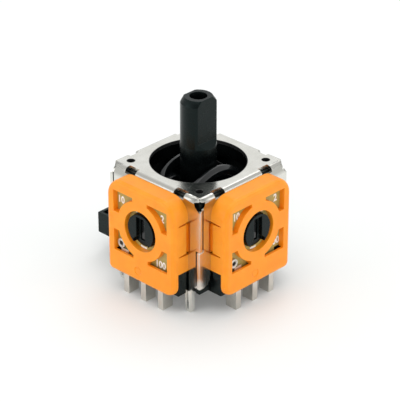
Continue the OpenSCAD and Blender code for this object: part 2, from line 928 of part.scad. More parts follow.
module pot_rotor() {
    blade_gap = 0.03;
    lead_in = 0.2;
    lead_depth = 0.5;
    boss_r = boss_d / 2;
    slot_half_w = blade_t / 2 + lead_in;
    color(BLACK)
    difference() {
        union() {
            shaft_y(rotor_flange_d / 2, flange_in, flange_out);
            shaft_y(boss_r, flange_out - 0.1, boss_out);
        }
        slab(flange_in - past, case_out - flange_in + 2 * past)
        translate([0, axis_z])
        square([blade_t + 2 * blade_gap, blade_h + 4 * blade_gap], center = true);
        // The slot is wider at the face, and opens to the rim below
        slab(boss_out - lead_depth, lead_depth + past)
        translate([0, axis_z])
        polygon([
            [-slot_half_w, boss_r - 0.35], [-slot_half_w, -0.4 * boss_r],
            [-0.6 * boss_r, -0.66 * boss_r], [-0.48 * boss_r, -boss_r],
            [0.48 * boss_r, -boss_r], [0.6 * boss_r, -0.66 * boss_r],
            [slot_half_w, -0.4 * boss_r], [slot_half_w, boss_r - 0.35]
        ]);
    }
}

// Sprung contact on the rotor that runs on the board's track
module pot_wiper() {
    finger_w = 0.35;
    color(BRASS)
    union() {
        slab(flange_out, 0.1)
        translate([0, axis_z])
        difference() {
            circle(d = rotor_flange_d - 0.4);
            circle(d = boss_d + 0.3);
            translate([-rotor_flange_d, -rotor_flange_d - 0.6])
            square([2 * rotor_flange_d, rotor_flange_d]);
        }
        for (side = [-1, 1])
            slab(flange_out + 0.05, contact_out - flange_out - 0.05)
            translate([side * 0.55, axis_z + boss_d / 4 + rotor_flange_d / 4])
            square([finger_w, 0.3], center = true);
    }
}

// Terminal: pad on the board, front web and side web; the side web is on the side given
module pot_terminal(number, side) {
    at = (number - 2) * terminal_pitch;
    spot = eyelet_spots[number - 1];
    web_top = number == 1 ? spot[1] - 0.5 : spot[1];
    link_h = 1.2;
    side_web_top = board_low - 0.3;
    color(TIN)
    difference() {
        union() {
            slab(front_in, terminal_t) {
                translate(spot)
                circle(d = eyelet_d + 0.1);
                translate([at - terminal_w / 2, -leg_drop])
                square([terminal_w, leg_drop + web_top]);
                translate([spot[0], web_top - link_h])
                square([at - spot[0] + terminal_w / 2, link_h]);
            }
            slab(front_in + terminal_t - terminal_side, terminal_side)
            translate([at + side * (terminal_w / 2 - terminal_t / 2), (side_web_top - leg_drop) / 2])
            square([terminal_t, side_web_top + leg_drop], center = true);
        }
        slab(front_in - past, terminal_t + 2 * past)
        translate(spot)
        circle(eyelet_bore_r);
    }
}

module pot_eyelets() {
    head_t = 0.12;
    color(TIN)
    for (spot = eyelet_spots)
        difference() {
            union() {
                slab(board_in - head_t, board_t + terminal_t + head_t)
                translate(spot)
                circle(eyelet_bore_r);
                slab(board_in - head_t, head_t)
                translate(spot)
                circle(d = eyelet_d);
            }
            slab(board_in - 1, board_t + 3)
            translate(spot)
            circle(d = eyelet_hole_d);
        }
}

// Switch

module switch_body() {
    color(BLACK)
    difference() {
        box([-switch_far, -switch_half_w, switch_low], [-switch_near, switch_half_w, switch_top]);
        translate([-button_at, 0, chamber_low])
        cylinder(h = switch_h, r = dome_r + 0.15);
        for (x = switch_pin_x, side = [-1, 1])
            translate([-x, side * switch_pin_y, switch_low])
            cube([switch_pin_w, switch_pin_t, 1.2], center = true);
    }
}

module switch_cover() {
    color(BLACK)
    difference() {
        box([-switch_far, -switch_half_w, switch_top], [-switch_near, switch_half_w, switch_top + cover_t]);
        translate([-button_at, 0, switch_top - past])
        cylinder(h = cover_t + 2 * past, d = button_d + 2 * run_gap);
    }
}

// Snap dome: a shallow cap of a sphere
module switch_dome() {
    sphere_r = (dome_r * dome_r + dome_h * dome_h) / (2 * dome_h);
    color(BRASS)
    intersection() {
        translate([-button_at, 0, chamber_low + dome_h - sphere_r])
        difference() {
            sphere(sphere_r, $fn = 48);
            sphere(sphere_r - dome_t, $fn = 48);
        }
        box([-button_at - dome_r, -dome_r, chamber_low], [dome_r - button_at, dome_r, switch_top]);
    }
}

module switch_button() {
    color(BLACK)
    translate([-button_at, 0, 0])
    union() {
        translate([0, 0, button_low])
        cylinder(h = button_top - button_low, d = button_d);
        translate([0, 0, switch_top - button_flange_h - 0.03])
        cylinder(h = button_flange_h, d = button_d + 0.8);
    }
}

module switch_terminal(number) {
    x = switch_pin_x[(number - 1) % 2];
    side = number > 2 ? 1 : -1;
    color(TIN)
    box([-x - switch_pin_w / 2, side * switch_pin_y - switch_pin_t / 2, -leg_drop],
        [-x + switch_pin_w / 2, side * switch_pin_y + switch_pin_t / 2, switch_low + 0.6]);
}

top_frame();
liner();
base();
stick();
pivot_pin();
upper_rocker();
lower_rocker();
centring_plate();
return_spring();
to_x_side() pot_case(case_r_low, case_r_far);  // pot_case_x
pot_case(case_r_far, case_r_low);  // pot_case_y
to_x_side() pot_board();  // pot_board_x
pot_board();  // pot_board_y
to_x_side() pot_rotor();  // pot_rotor_x
pot_rotor();  // pot_rotor_y
to_x_side() pot_wiper();  // pot_wiper_x
pot_wiper();  // pot_wiper_y
for (n = [1:3]) to_x_side() pot_terminal(n, -1);
for (n = [1:3]) pot_terminal(n, 1);
to_x_side() pot_eyelets();  // eyelets_x
pot_eyelets();  // eyelets_y
switch_body();
switch_cover();
switch_dome();
switch_button();
for (n = [1:4]) switch_terminal(n);
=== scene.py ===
# %% [markdown]
# # Dressing an analog stick module
#
# The part is a small two-axis thumb stick: a folded tin-plate frame, an orange potentiometer case on
# two sides, a black stick on two crossed rockers, and a push switch. The CAD model already holds every
# solid piece in its true place. This notebook adds what a solid model has no room for: eased edges,
# fine printing, the grain of rolled steel, the sheen of moulded plastic, and studio light.
#
# We work in metres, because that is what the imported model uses, and write sizes in millimetres times MM.

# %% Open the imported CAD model
import json
import math

import bmesh
import bpy
import numpy as np
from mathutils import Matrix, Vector

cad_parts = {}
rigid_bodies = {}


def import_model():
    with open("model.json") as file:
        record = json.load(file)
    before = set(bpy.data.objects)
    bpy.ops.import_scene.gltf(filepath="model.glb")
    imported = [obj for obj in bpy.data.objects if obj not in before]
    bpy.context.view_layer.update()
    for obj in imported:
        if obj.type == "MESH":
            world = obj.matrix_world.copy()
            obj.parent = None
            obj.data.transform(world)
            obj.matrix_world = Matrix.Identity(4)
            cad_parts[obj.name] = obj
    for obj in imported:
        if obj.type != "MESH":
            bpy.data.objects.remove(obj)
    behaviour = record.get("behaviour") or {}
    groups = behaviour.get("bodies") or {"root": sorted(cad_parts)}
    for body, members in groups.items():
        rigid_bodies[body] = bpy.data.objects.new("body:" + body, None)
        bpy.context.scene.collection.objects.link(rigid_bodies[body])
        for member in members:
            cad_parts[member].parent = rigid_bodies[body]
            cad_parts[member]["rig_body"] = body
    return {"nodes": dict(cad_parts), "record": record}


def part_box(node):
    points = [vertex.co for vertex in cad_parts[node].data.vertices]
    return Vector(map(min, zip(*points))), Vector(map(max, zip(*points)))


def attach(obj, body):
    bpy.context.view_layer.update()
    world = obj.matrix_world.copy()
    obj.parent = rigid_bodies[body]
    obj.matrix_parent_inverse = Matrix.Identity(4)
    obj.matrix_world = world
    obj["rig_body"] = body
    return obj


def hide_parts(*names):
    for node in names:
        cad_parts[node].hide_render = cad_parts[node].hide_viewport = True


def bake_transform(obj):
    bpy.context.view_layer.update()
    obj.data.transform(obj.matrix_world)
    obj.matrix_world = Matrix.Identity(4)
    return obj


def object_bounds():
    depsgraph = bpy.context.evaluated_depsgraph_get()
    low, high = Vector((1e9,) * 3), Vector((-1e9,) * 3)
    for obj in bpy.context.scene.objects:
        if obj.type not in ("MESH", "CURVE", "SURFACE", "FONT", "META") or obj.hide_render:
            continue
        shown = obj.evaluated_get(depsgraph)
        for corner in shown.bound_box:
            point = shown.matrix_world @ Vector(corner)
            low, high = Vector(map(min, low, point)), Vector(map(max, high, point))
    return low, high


MM = 0.001

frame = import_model()
nodes = frame["nodes"]
cad_low, cad_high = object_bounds()

# %% [markdown]
# ## Materials
#
# A real moulding is never one flat colour. Its gloss wanders a little, its skin is faintly uneven, and
# the colour shifts where the plastic flowed. All our finishes share these effects, so each effect is
# built once as a node group with named inputs. The alternative, an image texture, would need unwrapped
# surfaces and would blur in close views. Procedural noise on Object coordinates stays sharp, and stays
# put when a piece moves.

# %% Helpers for node trees
def add_node(tree, kind, **settings):
    """One node of this kind, with its settings; a setting named in_NAME goes to the input NAME."""
    node = tree.nodes.new(kind)
    for name, value in settings.items():
        if name.startswith("in_"):
            node.inputs[name[3:].replace("_", " ")].default_value = value
        else:
            setattr(node, name, value)
    return node


def new_group(name, inputs, outputs):
    """An empty shader group with float, colour or vector sockets: (tree, its input node, its output node)."""
    tree = bpy.data.node_groups.new(name, "ShaderNodeTree")
    for socket_name, kind, value in inputs:
        socket = tree.interface.new_socket(socket_name, in_out="INPUT", socket_type=kind)
        if value is not None:
            socket.default_value = value
    for socket_name, kind in outputs:
        tree.interface.new_socket(socket_name, in_out="OUTPUT", socket_type=kind)
    return tree, tree.nodes.new("NodeGroupInput"), tree.nodes.new("NodeGroupOutput")


def map_range(tree, value, low, high, to_low, to_high):
    """Maps value from low..high to to_low..to_high, clamped. The targets may be numbers or sockets."""
    node = add_node(tree, "ShaderNodeMapRange")
    tree.links.new(value, node.inputs["Value"])
    node.inputs["From Min"].default_value = low
    node.inputs["From Max"].default_value = high
    for socket, target in (("To Min", to_low), ("To Max", to_high)):
        if isinstance(target, bpy.types.NodeSocket):
            tree.links.new(target, node.inputs[socket])
        else:
            node.inputs[socket].default_value = target
    return node.outputs["Result"]


# %% [markdown]
# The first group is the skin of a moulding. A broad noise makes the gloss wander between two values and
# tints the colour; a fine noise is the faint orange-peel relief of the tool's steel.

# %% Shared effect: moulded skin
def build_moulded_skin():
    """Gloss = gloss 1 to gloss 2 by broad noise; colour = colour 1 to colour 2 by it; height = fine noise."""
    tree, into, out = new_group(
        "moulded_skin",
        [("Coordinates", "NodeSocketVector", None), ("Patch size", "NodeSocketFloat", 3.0),
         ("Colour 1", "NodeSocketColor", (0.5, 0.5, 0.5, 1)), ("Colour 2", "NodeSocketColor", (0.6, 0.6, 0.6, 1)),
         ("Gloss 1", "NodeSocketFloat", 0.3), ("Gloss 2", "NodeSocketFloat", 0.5),
         ("Grain", "NodeSocketFloat", 40.0)],
        [("Colour", "NodeSocketColor"), ("Roughness", "NodeSocketFloat"), ("Height", "NodeSocketFloat")])
    broad = add_node(tree, "ShaderNodeTexNoise", in_Detail=3.0, in_Roughness=0.6)
    fine = add_node(tree, "ShaderNodeTexNoise", in_Detail=2.0)
    mix = add_node(tree, "ShaderNodeMix", data_type="RGBA")
    tree.links.new(into.outputs["Coordinates"], broad.inputs["Vector"])
    tree.links.new(into.outputs["Coordinates"], fine.inputs["Vector"])
    tree.links.new(into.outputs["Patch size"], broad.inputs["Scale"])
    tree.links.new(into.outputs["Grain"], fine.inputs["Scale"])
    share = map_range(tree, broad.outputs["Fac"], 0.35, 0.65, 0.0, 1.0)
    tree.links.new(share, mix.inputs["Factor"])
    tree.links.new(into.outputs["Colour 1"], mix.inputs["A"])
    tree.links.new(into.outputs["Colour 2"], mix.inputs["B"])
    rough = map_range(tree, broad.outputs["Fac"], 0.35, 0.65,
                      into.outputs["Gloss 1"], into.outputs["Gloss 2"])
    tree.links.new(mix.outputs["Result"], out.inputs["Colour"])
    tree.links.new(rough, out.inputs["Roughness"])
    tree.links.new(fine.outputs["Fac"], out.inputs["Height"])
    return tree


moulded_skin = build_moulded_skin()
print("built", moulded_skin.name)

# %% [markdown]
# The second group is tin-plated sheet. Rolling leaves fine parallel lines, and handling leaves softer
# blotches. Both change the gloss more than the colour, which is how bare metal looks in soft light.

# %% Shared effect: rolled tin plate
def build_rolled_tin():
    """Lines = noise stretched along the rolling direction; blotches = broad noise. Gloss and tone mix both; height
    follows the lines alone.
    """
    tree, into, out = new_group(
        "rolled_tin",
        [("Coordinates", "NodeSocketVector", None), ("Stretch", "NodeSocketVector", (1.0, 14.0, 14.0)),
         ("Bright", "NodeSocketColor", (0.8, 0.8, 0.8, 1)), ("Dull", "NodeSocketColor", (0.6, 0.6, 0.6, 1)),
         ("Gloss 1", "NodeSocketFloat", 0.2), ("Gloss 2", "NodeSocketFloat", 0.4)],
        [("Colour", "NodeSocketColor"), ("Roughness", "NodeSocketFloat"), ("Height", "NodeSocketFloat")])
    stretch = add_node(tree, "ShaderNodeVectorMath", operation="MULTIPLY")
    lines = add_node(tree, "ShaderNodeTexNoise", in_Scale=1.5, in_Detail=4.0, in_Roughness=0.65)
    blotch = add_node(tree, "ShaderNodeTexNoise", in_Scale=0.55, in_Detail=3.0)
    mix = add_node(tree, "ShaderNodeMix", data_type="RGBA")
    both = add_node(tree, "ShaderNodeMath", operation="MULTIPLY_ADD", use_clamp=True)
    both.inputs[1].default_value = 0.45
    tree.links.new(into.outputs["Coordinates"], stretch.inputs[0])
    tree.links.new(into.outputs["Stretch"], stretch.inputs[1])
    tree.links.new(stretch.outputs["Vector"], lines.inputs["Vector"])
    tree.links.new(into.outputs["Coordinates"], blotch.inputs["Vector"])
    tree.links.new(lines.outputs["Fac"], both.inputs[0])
    tree.links.new(map_range(tree, blotch.outputs["Fac"], 0.3, 0.7, 0.0, 0.55), both.inputs[2])
    tree.links.new(both.outputs["Value"], mix.inputs["Factor"])
    tree.links.new(into.outputs["Bright"], mix.inputs["A"])
    tree.links.new(into.outputs["Dull"], mix.inputs["B"])
    rough = map_range(tree, both.outputs["Value"], 0.1, 0.8,
                      into.outputs["Gloss 1"], into.outputs["Gloss 2"])
    tree.links.new(mix.outputs["Result"], out.inputs["Colour"])
    tree.links.new(rough, out.inputs["Roughness"])
    tree.links.new(lines.outputs["Fac"], out.inputs["Height"])
    return tree


rolled_tin = build_rolled_tin()
print("built", rolled_tin.name)

# %% [markdown]
# The frame is punched from strip that was tinned before, so the walls of its holes are bare sheared
# steel: dark, rough, and much duller than the faces. The third group finds those walls by distance. It
# folds the plan on itself with absolute values, so that one distance serves all four small holes. Along
# the folds the colour is painted greyer: painted shade, standing in for the darker surroundings that the
# folds reflect. That band is found by height and by the larger of the two plan coordinates.

# %% Shared effect: tin plate with sheared holes
HOLE_AT, HOLE_EDGE, OPENING_EDGE = 4.95, 0.455, 5.135
# Where the painted shade along the folds lies, by plan and by height.
SHADED_BEND_PLAN, SHADED_BEND_HEIGHT = (6.0, 6.25), (9.7, 10.2)


def build_punched_tin():
    """Rolled tin, dark and rough within HOLE_EDGE of a hole's axis or OPENING_EDGE of the stick's, with painted shade
    along the folds.
    """
    tree, into, out = new_group(
        "punched_tin",
        [("Coordinates", "NodeSocketVector", None), ("Bright", "NodeSocketColor", (0.8, 0.8, 0.8, 1)),
         ("Dull", "NodeSocketColor", (0.6, 0.6, 0.6, 1)), ("Gloss 1", "NodeSocketFloat", 0.2),
         ("Gloss 2", "NodeSocketFloat", 0.4), ("Sheared", "NodeSocketColor", (0.1, 0.1, 0.1, 1)),
         ("Sheared gloss", "NodeSocketFloat", 0.5), ("Bend shade", "NodeSocketColor", (0.4, 0.4, 0.4, 1))],
        [("Colour", "NodeSocketColor"), ("Roughness", "NodeSocketFloat"), ("Height", "NodeSocketFloat")])
    links = tree.links
    plan = add_node(tree, "ShaderNodeVectorMath", operation="MULTIPLY")
    plan.inputs[1].default_value = (1, 1, 0)
    folded = add_node(tree, "ShaderNodeVectorMath", operation="ABSOLUTE")
    from_hole = add_node(tree, "ShaderNodeVectorMath", operation="SUBTRACT")
    from_hole.inputs[1].default_value = (HOLE_AT, HOLE_AT, 0)
    to_hole = add_node(tree, "ShaderNodeVectorMath", operation="LENGTH")
    to_stick = add_node(tree, "ShaderNodeVectorMath", operation="LENGTH")
    links.new(into.outputs["Coordinates"], plan.inputs[0])
    links.new(plan.outputs["Vector"], folded.inputs[0])
    links.new(folded.outputs["Vector"], from_hole.inputs[0])
    links.new(from_hole.outputs["Vector"], to_hole.inputs[0])
    links.new(plan.outputs["Vector"], to_stick.inputs[0])
    near_hole = map_range(tree, to_hole.outputs["Value"], HOLE_EDGE, HOLE_EDGE + 0.02, 1.0, 0.0)
    near_rim = map_range(tree, to_stick.outputs["Value"], OPENING_EDGE, OPENING_EDGE + 0.02, 1.0, 0.0)
    mask = add_node(tree, "ShaderNodeMath", operation="ADD", use_clamp=True)
    links.new(near_hole, mask.inputs[0])
    links.new(near_rim, mask.inputs[1])
    sheet = add_node(tree, "ShaderNodeGroup", node_tree=rolled_tin)
    for socket in ("Coordinates", "Bright", "Dull", "Gloss 1", "Gloss 2"):
        links.new(into.outputs[socket], sheet.inputs[socket])
    outer = add_node(tree, "ShaderNodeSeparateXYZ")
    height = add_node(tree, "ShaderNodeSeparateXYZ")
    larger = add_node(tree, "ShaderNodeMath", operation="MAXIMUM")
    links.new(folded.outputs["Vector"], outer.inputs[0])
    links.new(into.outputs["Coordinates"], height.inputs[0])
    links.new(outer.outputs["X"], larger.inputs[0])
    links.new(outer.outputs["Y"], larger.inputs[1])
    # Painted shade: along the folds the colour turns towards a darker grey, standing in for the darker surroundings
    # that the folds reflect.
    bend_shade = map_range(tree, larger.outputs["Value"], *SHADED_BEND_PLAN, 0.0,
                     map_range(tree, height.outputs["Z"], *SHADED_BEND_HEIGHT, 0.0, 0.8))
    shaded_bend = add_node(tree, "ShaderNodeMix", data_type="RGBA")
    links.new(bend_shade, shaded_bend.inputs["Factor"])
    links.new(sheet.outputs["Colour"], shaded_bend.inputs["A"])
    links.new(into.outputs["Bend shade"], shaded_bend.inputs["B"])
    mix = add_node(tree, "ShaderNodeMix", data_type="RGBA")
    links.new(mask.outputs["Value"], mix.inputs["Factor"])
    links.new(shaded_bend.outputs["Result"], mix.inputs["A"])
    links.new(into.outputs["Sheared"], mix.inputs["B"])
    links.new(mix.outputs["Result"], out.inputs["Colour"])
    links.new(map_range(tree, mask.outputs["Value"], 0.0, 1.0, sheet.outputs["Roughness"],
                        into.outputs["Sheared gloss"]), out.inputs["Roughness"])
    links.new(sheet.outputs["Height"], out.inputs["Height"])
    return tree


punched_tin = build_punched_tin()
print("built", punched_tin.name)

# %% [markdown]
# Each finish is one Principled shader fed by a group. What is the same all over the surface, such as the
# coat or the index of refraction, is set on the shader itself.

# %% Build a finish from a shared effect
def finish_of(name, group, values, relief, metallic=0.0, **shader):
    """A material: the group's colour and gloss feed the shader, and its height a bump of `relief` millimetres."""
    material = bpy.data.materials.new(name)
    material.use_nodes = True
    tree = material.node_tree
    tree.nodes.clear()
    output = add_node(tree, "ShaderNodeOutputMaterial")
    bsdf = add_node(tree, "ShaderNodeBsdfPrincipled")
    bsdf.inputs["Metallic"].default_value = metallic
    for socket, value in shader.items():
        bsdf.inputs[socket.replace("_", " ")].default_value = value
    coords = add_node(tree, "ShaderNodeTexCoord")
    to_mm = add_node(tree, "ShaderNodeMapping", in_Scale=(1 / MM, 1 / MM, 1 / MM))
    effect = add_node(tree, "ShaderNodeGroup", node_tree=group)
    for socket, value in values.items():
        effect.inputs[socket].default_value = value
    bump = add_node(tree, "ShaderNodeBump", in_Strength=1.0, in_Distance=relief * MM)
    links = tree.links
    links.new(coords.outputs["Object"], to_mm.inputs["Vector"])
    links.new(to_mm.outputs["Vector"], effect.inputs["Coordinates"])
    links.new(effect.outputs["Colour"], bsdf.inputs["Base Color"])
    links.new(effect.outputs["Roughness"], bsdf.inputs["Roughness"])
    links.new(effect.outputs["Height"], bump.inputs["Height"])
    links.new(bump.outputs["Normal"], bsdf.inputs["Normal"])
    links.new(bsdf.outputs["BSDF"], output.inputs["Surface"])
    return material


# %% The finishes of the part
orange = finish_of(
    "orange_moulding", moulded_skin,
    {"Patch size": 0.5, "Colour 1": (0.93, 0.280, 0.006, 1), "Colour 2": (0.97, 0.318, 0.012, 1),
     "Gloss 1": 0.32, "Gloss 2": 0.44, "Grain": 14.0},
    relief=0.004, IOR=1.40, Subsurface_Weight=0.10, Subsurface_Radius=(1.0, 0.30, 0.05),
    Subsurface_Scale=0.5 * MM)
black = finish_of(
    "black_moulding", moulded_skin,
    {"Patch size": 0.7, "Colour 1": (0.0010, 0.0015, 0.0016, 1), "Colour 2": (0.0022, 0.0030, 0.0031, 1),
     "Gloss 1": 0.20, "Gloss 2": 0.32, "Grain": 11.0},
    relief=0.003, IOR=1.29, Specular_Tint=(0.72, 1.0, 0.98, 1))
# A second black for the sliding parts in the throat. Partly it is a glossier plastic with a higher index. Partly it is
# painted light: its colour is made lighter than black_moulding to lift those parts out of the throat's shade.
slippery_lightened_black = finish_of(
    "slippery_lightened_moulding", moulded_skin,
    {"Patch size": 0.9, "Colour 1": (0.0030, 0.0038, 0.0042, 1), "Colour 2": (0.0060, 0.0072, 0.0078, 1),
     "Gloss 1": 0.14, "Gloss 2": 0.24, "Grain": 9.0},
    relief=0.003, IOR=1.52)
tin = finish_of(
    "tinned_steel", punched_tin,
    {"Bright": (0.84, 0.83, 0.79, 1), "Dull": (0.64, 0.63, 0.58, 1), "Gloss 1": 0.12, "Gloss 2": 0.26,
     # Painted shade along the folds of the frame.
     "Bend shade": (0.40, 0.39, 0.36, 1)},
    relief=0.003, metallic=1.0)
pin_tin = finish_of(
    "tinned_terminal", rolled_tin,
    {"Bright": (0.78, 0.76, 0.70, 1), "Dull": (0.52, 0.50, 0.46, 1), "Gloss 1": 0.24, "Gloss 2": 0.46,
     "Stretch": (9.0, 9.0, 1.0)},
    relief=0.004, metallic=1.0)
board = finish_of(
    "phenolic", moulded_skin,
    {"Patch size": 2.2, "Colour 1": (0.37, 0.295, 0.070, 1), "Colour 2": (0.46, 0.370, 0.100, 1),
     "Gloss 1": 0.32, "Gloss 2": 0.55, "Grain": 22.0},
    relief=0.006, IOR=1.55)
brass = finish_of(
    "contact_brass", rolled_tin,
    {"Bright": (0.83, 0.62, 0.27, 1), "Dull": (0.55, 0.38, 0.14, 1), "Gloss 1": 0.20, "Gloss 2": 0.40},
    relief=0.003, metallic=1.0)
ink = finish_of(
    "white_print", moulded_skin,
    {"Patch size": 4.0, "Colour 1": (0.84, 0.84, 0.80, 1), "Colour 2": (0.93, 0.93, 0.90, 1),
     "Gloss 1": 0.45, "Gloss 2": 0.65, "Grain": 20.0},
    relief=0.003)
finishes = {"orange_moulding": orange, "black_moulding": black, "tinned_steel": tin,
            "tinned_terminal": pin_tin, "phenolic": board, "contact_brass": brass}
print("finishes:", ", ".join(finishes))

# %% Give every CAD node its finish
node_slots = {}
for slot in frame["record"]["materials"]:
    for name in slot.get("nodes", []):
        node_slots[name] = slot["slot"]
for name, node in nodes.items():
    old = [m.name.split(".")[0] for m in node.data.materials if m]
    node_slots.setdefault(name, next((s for s in finishes if s in old), "black_moulding"))
    node.data.materials.clear()
    # The sliding parts sit in the throat's shade, and their black is painted lighter.
    sliding = name in ("upper_rocker", "lower_rocker", "centring_plate")
    node.data.materials.append(slippery_lightened_black if sliding else finishes[node_slots[name]])
print({s: sum(v == s for v in node_slots.values()) for s in finishes})

# %% [markdown]
# ## Eased edges
#
# No moulded or pressed edge is perfectly sharp, and at this size the thin bright line along each edge is
# most of what the eye reads. A CAD node's mesh must stay as it is, so we copy it, merge its doubled
# points, join its flat fans of triangles into whole faces, and let a Bevel modifier round what is left.
# Big flat faces beside small round ones would shade as if they were curved, so a Weighted Normal
# modifier lets the large faces decide the shading. The softened copy then stands in for the node.
#
# Bevel's own guard against overlaps shrinks every round of a piece to suit its shortest edge, which
# here means to nothing. So the guard is off, and each width is small enough to do without it. The orange
# cases have fine hooks and slits inside that would fold over. So there only the edges near the front get
# a bevel weight: those of the windows, and the steps that the model has in place of a rounded rim. Their
# round shoulders join two circles of different fineness, where averaged normals would show as scallops,
# so the cases keep flat faces.

# %% A softened stand-in for a CAD node
BODY_OF = {name: node["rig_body"] for name, node in nodes.items()}


CRISP = 48


def merged_copy(name):
    """A bmesh of node `name` whose doubled points are joined: a CAD node is loose triangles."""
    shape = bmesh.new()
    shape.from_mesh(nodes[name].data)
    bmesh.ops.remove_doubles(shape, verts=shape.verts, dist=0.002 * MM)
    return shape


def softened(name, width, segments=2, angle=32, front=None):
    """Copies node `name`; an edge that turns more than `angle` degrees gets a round of `width` mm, or stays crisp at 0.

    With front = (axis, place, depth), only edges that close to that plane are rounded; the others stay crisp."""
    mesh = nodes[name].data.copy()
    shape = merged_copy(name)
    bmesh.ops.dissolve_limit(shape, angle_limit=math.radians(0.5), verts=shape.verts, edges=shape.edges)
    if front:
        weights = shape.edges.layers.float.new("bevel_weight_edge")
        for edge in shape.edges:
            near = all(abs(v.co[front[0]] - front[1]) < front[2] * MM for v in edge.verts)
            edge[weights] = float(near and edge.calc_face_angle(0) > math.radians(angle))
    shape.to_mesh(mesh)
    shape.free()
    if front:
        mesh.shade_flat()
    else:
        mesh.shade_smooth()
    piece = bpy.data.objects.new(name + "_soft", mesh)
    bpy.context.scene.collection.objects.link(piece)
    if width:
        bevel = piece.modifiers.new("eased edges", "BEVEL")
        bevel.width = width * MM
        bevel.segments = segments
        bevel.limit_method = "WEIGHT" if front else "ANGLE"
        bevel.angle_limit = math.radians(angle)
        bevel.use_clamp_overlap = False
        bevel.loop_slide = False
        bevel.face_strength_mode = "FSTR_AFFECTED"
    else:
        mesh.set_sharp_from_angle(angle=math.radians(CRISP))
    if not front:
        weigh = piece.modifiers.new("flat faces stay flat", "WEIGHTED_NORMAL")
        weigh.weight = 50
        weigh.use_face_influence = bool(width)
        weigh.keep_sharp = not width
    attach(piece, BODY_OF[name])
    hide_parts(name)
    return piece


soft_widths = {
    "top_frame": 0, "liner": 0, "base": 0.06, "stick": 0.04,
    "pot_board_x": 0.03, "pot_board_y": 0.03,
    "upper_rocker": 0.08, "lower_rocker": 0.10, "pot_rotor_x": 0.05, "pot_rotor_y": 0.05,
    "switch_body": 0.05, "switch_cover": 0.03, "switch_button": 0.08, "centring_plate": 0.06,
}
soft_widths.update({name: 0.03 for name in nodes if name.startswith("terminal_")})
soft_widths.update({name: 0.04 for name in nodes if name.startswith("switch_terminal_")})
for name, width in soft_widths.items():
    piece = softened(name, width)
    print(piece.name, len(piece.data.polygons), "faces before the bevel")
for name, axis, place in (("pot_case_x", 0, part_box("pot_case_x")[1][0]), ("pot_case_y", 1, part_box("pot_case_y")[0][1])):
    piece = softened(name, 0.05, segments=3, angle=18, front=(axis, place, 0.41))
    print(piece.name, len(piece.data.polygons), "faces before the bevel")

# %% [markdown]
# ## Surfaces from formulas
#
# The round details are too fine for the CAD model's facets, so they are worked out with numpy. Each is a
# function of two parameters, evaluated on a whole grid at once. `grid_mesh` joins such a grid into faces,
# and can close it in either direction.

# %% From a grid of points to a mesh
def grid_mesh(name, points, close_u=False, close_v=False):
    """points[i, j] is a surface's point at row i and column j; a closed direction joins its last to its first."""
    rows, columns = points.shape[:2]
    i, j = np.meshgrid(np.arange(rows - (not close_u)), np.arange(columns - (not close_v)), indexing="ij")
    i, j = i.ravel(), j.ravel()
    i_next, j_next = (i + 1) % rows, (j + 1) % columns
    quads = np.column_stack([i * columns + j, i_next * columns + j, i_next * columns + j_next,
                             i * columns + j_next])
    mesh = bpy.data.meshes.new(name)
    mesh.from_pydata((points.reshape(-1, 3) * MM).tolist(), [], quads.tolist())
    mesh.shade_smooth()
    mesh.update()
    return mesh


def add_piece(mesh, body, slot_name, stands_for=None, moved_by=None):
    """Links a finished mesh as a piece of this body, with the finish of a slot.

    With moved_by set, the piece stays in world space and is attached to no body; the other body and the heights low and
    high in it are not used."""
    piece = bpy.data.objects.new(mesh.name, mesh)
    bpy.context.scene.collection.objects.link(piece)
    mesh.materials.append(finishes[slot_name])
    if moved_by:
        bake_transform(piece)
    else:
        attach(piece, body)
    if stands_for:
        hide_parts(stands_for)
    return piece


print("grid_mesh and add_piece are ready")

# %% [markdown]
# ### Return spring
#
# The real spring is steel wire wound on a mandrel: two close end turns that sit flat, and open turns
# between them. We carry a circle along a helix. The height follows a smooth step, so that the wire
# leaves the flat turns without a kink. The spring and the snap dome under the button are left in world
# space, attached to no body, and keep their shapes at rest.

# %% Wind the spring
SPRING_LOW, SPRING_HIGH = [v / MM for v in (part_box("return_spring")[0][2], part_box("return_spring")[1][2])]
SPRING_RADIUS, WIRE_RADIUS, SPRING_TURNS = 1.905, 0.155, 4


def spring_points(along, around):
    """A circle of the wire's radius, square to a helix whose height is a smooth step between two flat turns."""
    t = np.linspace(0, 1, along)[:, None]
    v = np.linspace(0, 2 * np.pi, around, endpoint=False)[None, :]
    turn = 2 * np.pi * SPRING_TURNS * t
    share = np.clip((t * SPRING_TURNS - 0.75) / (SPRING_TURNS - 1.5), 0, 1)
    z = SPRING_LOW + WIRE_RADIUS + (SPRING_HIGH - SPRING_LOW - 2 * WIRE_RADIUS) * share ** 2 * (3 - 2 * share)
    reach = SPRING_RADIUS + WIRE_RADIUS * np.cos(v)
    return np.stack([reach * np.cos(turn), reach * np.sin(turn), z + WIRE_RADIUS * np.sin(v)], axis=-1)


def close_ends(mesh, columns):
    """Adds one face over each open end of a tube that was made row by row."""
    shape = bmesh.new()
    shape.from_mesh(mesh)
    shape.verts.ensure_lookup_table()
    count = len(shape.verts)
    shape.faces.new([shape.verts[k] for k in range(columns)])
    shape.faces.new([shape.verts[count - 1 - k] for k in range(columns)])
    bmesh.ops.recalc_face_normals(shape, faces=shape.faces)
    shape.to_mesh(mesh)
    shape.free()


spring_mesh = grid_mesh("spring_wire", spring_points(240, 12), close_v=True)
close_ends(spring_mesh, 12)
add_piece(spring_mesh, "housing", "tinned_terminal", "return_spring",
          moved_by=("plate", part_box("return_spring")[0][2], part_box("return_spring")[1][2]))
print("spring of", len(spring_mesh.polygons), "faces between", round(SPRING_LOW, 2), "and", round(SPRING_HIGH, 2), "mm")

